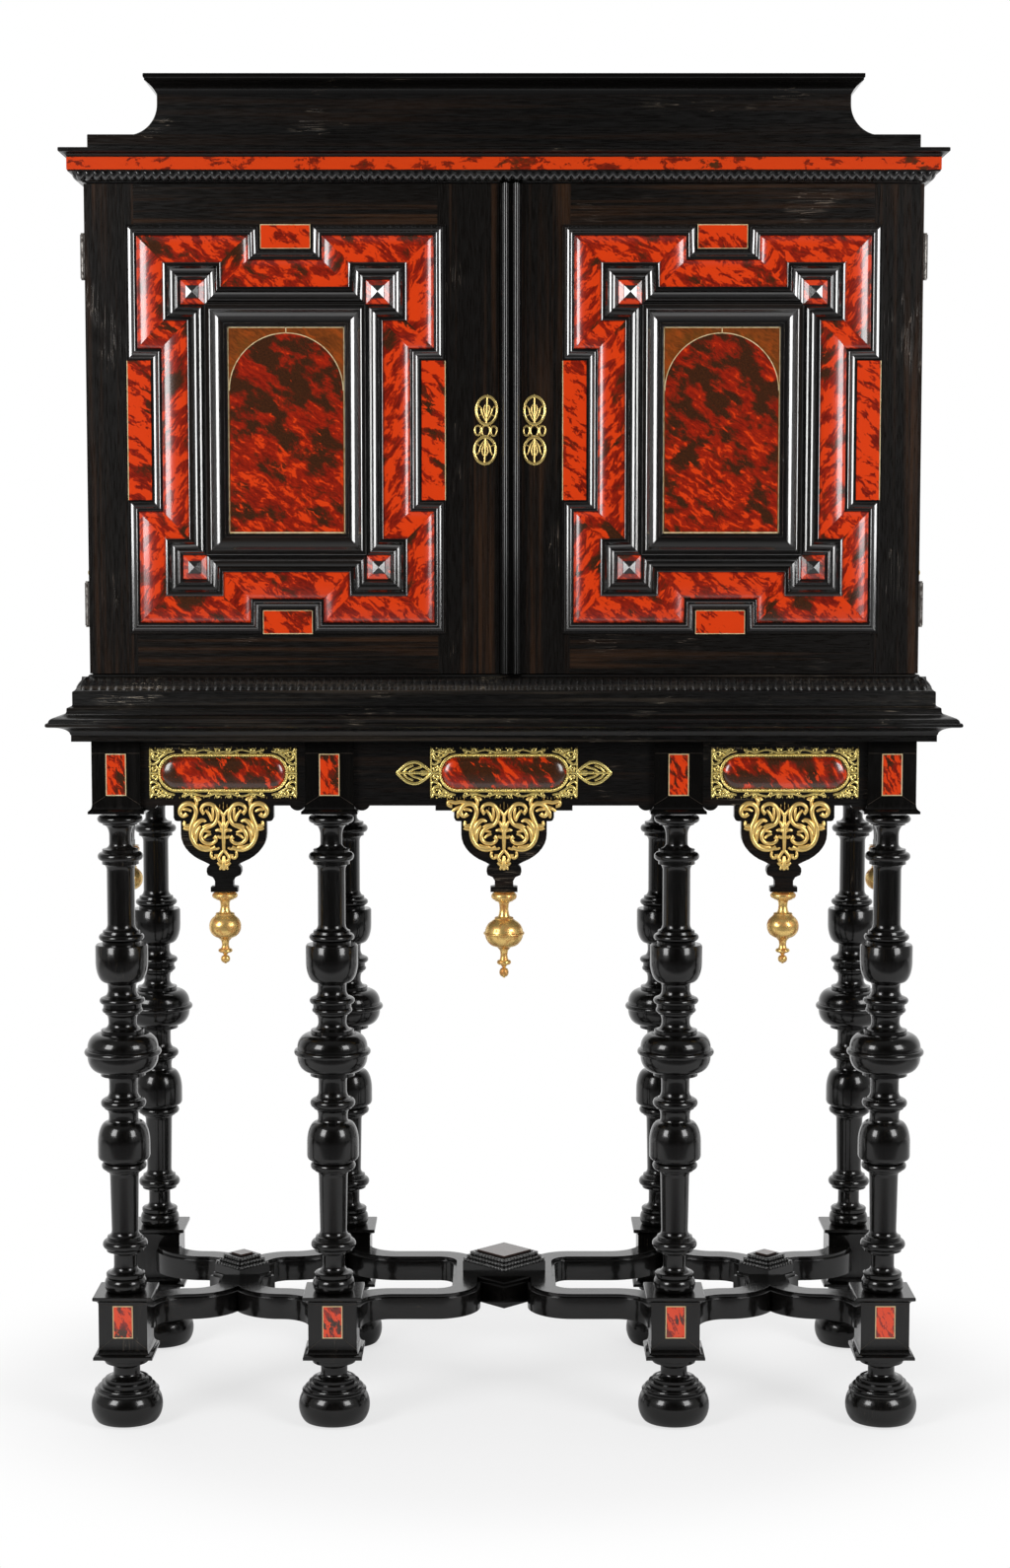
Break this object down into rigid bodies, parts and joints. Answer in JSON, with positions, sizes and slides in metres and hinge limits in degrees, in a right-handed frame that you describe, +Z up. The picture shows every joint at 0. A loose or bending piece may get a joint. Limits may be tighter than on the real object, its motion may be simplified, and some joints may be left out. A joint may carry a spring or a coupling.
{
  "type": "cabinet on stand",
  "caption": "Ebonised two-door cabinet with tortoiseshell panels and ripple mouldings, on a stand with turned legs and a scrolled stretcher.",
  "frame": {"origin": "on the floor, under the middle of the whole piece", "axes": "+X to the right of a person who faces the doors, +Y to the back, +Z up; the doors face -Y"},
  "size_m": [1.262, 0.5238, 1.897],
  "materials": {
    "ebony": "waxed, satin to glossy on the turnings",
    "tortoiseshell": "polished, red and dark brown mottling",
    "gilt_metal": "gilt, chased",
    "gilt_wood": "water gilt, worn to the red ground",
    "iron": "forged, dull",
    "inner_wood": "oiled oak"
  },
  "bodies": {
    "cabinet": {"stand_top": "ebony", "frieze_front": "ebony", "frieze_back": "ebony", "frieze_left": "ebony", "frieze_right": "ebony", "leg_1": "ebony", "leg_2": "ebony", "leg_3": "ebony", "leg_4": "ebony", "leg_5": "ebony", "leg_6": "ebony", "leg_7": "ebony", "leg_8": "ebony", "feet": "ebony", "stretcher_front_left": "ebony", "stretcher_front_right": "ebony", "stretcher_rear_left": "ebony", "stretcher_rear_right": "ebony", "stretcher_bosses": "ebony", "boss_panels": "tortoiseshell", "block_inlays": "tortoiseshell", "cabochons": "tortoiseshell", "cabochon_frames": "gilt_metal", "apron_mounts": "gilt_metal", "pendants": "gilt_wood", "cabinet_plinth": "ebony", "side_left": "ebony", "side_right": "ebony", "carcase_top": "inner_wood", "carcase_bottom": "inner_wood", "back_panel": "inner_wood", "cornice": "ebony", "cornice_band": "tortoiseshell", "cresting": "ebony", "hinge_leaves_case": "iron", "hinge_pins": "iron", "handle_plates": "gilt_metal", "partitions": "inner_wood", "drawers_left": "ebony", "drawers_right": "ebony", "drawers_centre": "ebony", "cupboard_door": "ebony"},
    "left_leaf": {"door_left": "ebony", "mouldings_left": "ebony", "tortoiseshell_left": "tortoiseshell", "escutcheon_left": "gilt_metal", "hinge_leaves_left": "iron", "slide_bolt_guides": "iron"},
    "right_leaf": {"door_right": "ebony", "mouldings_right": "ebony", "tortoiseshell_right": "tortoiseshell", "cover_strip": "ebony", "escutcheon_right": "gilt_metal", "hinge_leaves_right": "iron", "lock_case": "iron"},
    "lock_bolt": {"lock_bolt": "iron"},
    "slide_bolt_top": {"slide_bolt_top": "iron"},
    "slide_bolt_bottom": {"slide_bolt_bottom": "iron"},
    "handle_left": {"handle_left": "gilt_metal"},
    "handle_right": {"handle_right": "gilt_metal"}
  },
  "joints": [
    {"name": "door_left_hinge", "type": "hinge", "parent": "cabinet", "child": "left_leaf", "pos_m": [-0.581, -0.18263, 1.413], "axis": [0, 0, -1], "range_deg": [0, 175]},
    {"name": "door_right_hinge", "type": "hinge", "parent": "cabinet", "child": "right_leaf", "pos_m": [0.581, -0.18263, 1.413], "axis": [0, 0, 1], "range_deg": [0, 175]},
    {"name": "lock_bolt_slide", "type": "slide", "parent": "right_leaf", "child": "lock_bolt", "axis": [-1, 0, 0], "range_m": [0, 0.01]},
    {"name": "slide_bolt_top_slide", "type": "slide", "parent": "left_leaf", "child": "slide_bolt_top", "axis": [0, 0, 1], "range_m": [0, 0.012]},
    {"name": "slide_bolt_bottom_slide", "type": "slide", "parent": "left_leaf", "child": "slide_bolt_bottom", "axis": [0, 0, -1], "range_m": [0, 0.012]},
    {"name": "handle_left_swing", "type": "hinge", "parent": "cabinet", "child": "handle_left", "pos_m": [-0.598, 0.01738, 1.216], "axis": [0, 1, 0], "range_deg": [0, 90]},
    {"name": "handle_right_swing", "type": "hinge", "parent": "cabinet", "child": "handle_right", "pos_m": [0.598, 0.01738, 1.216], "axis": [0, -1, 0], "range_deg": [0, 90]}
  ]
}
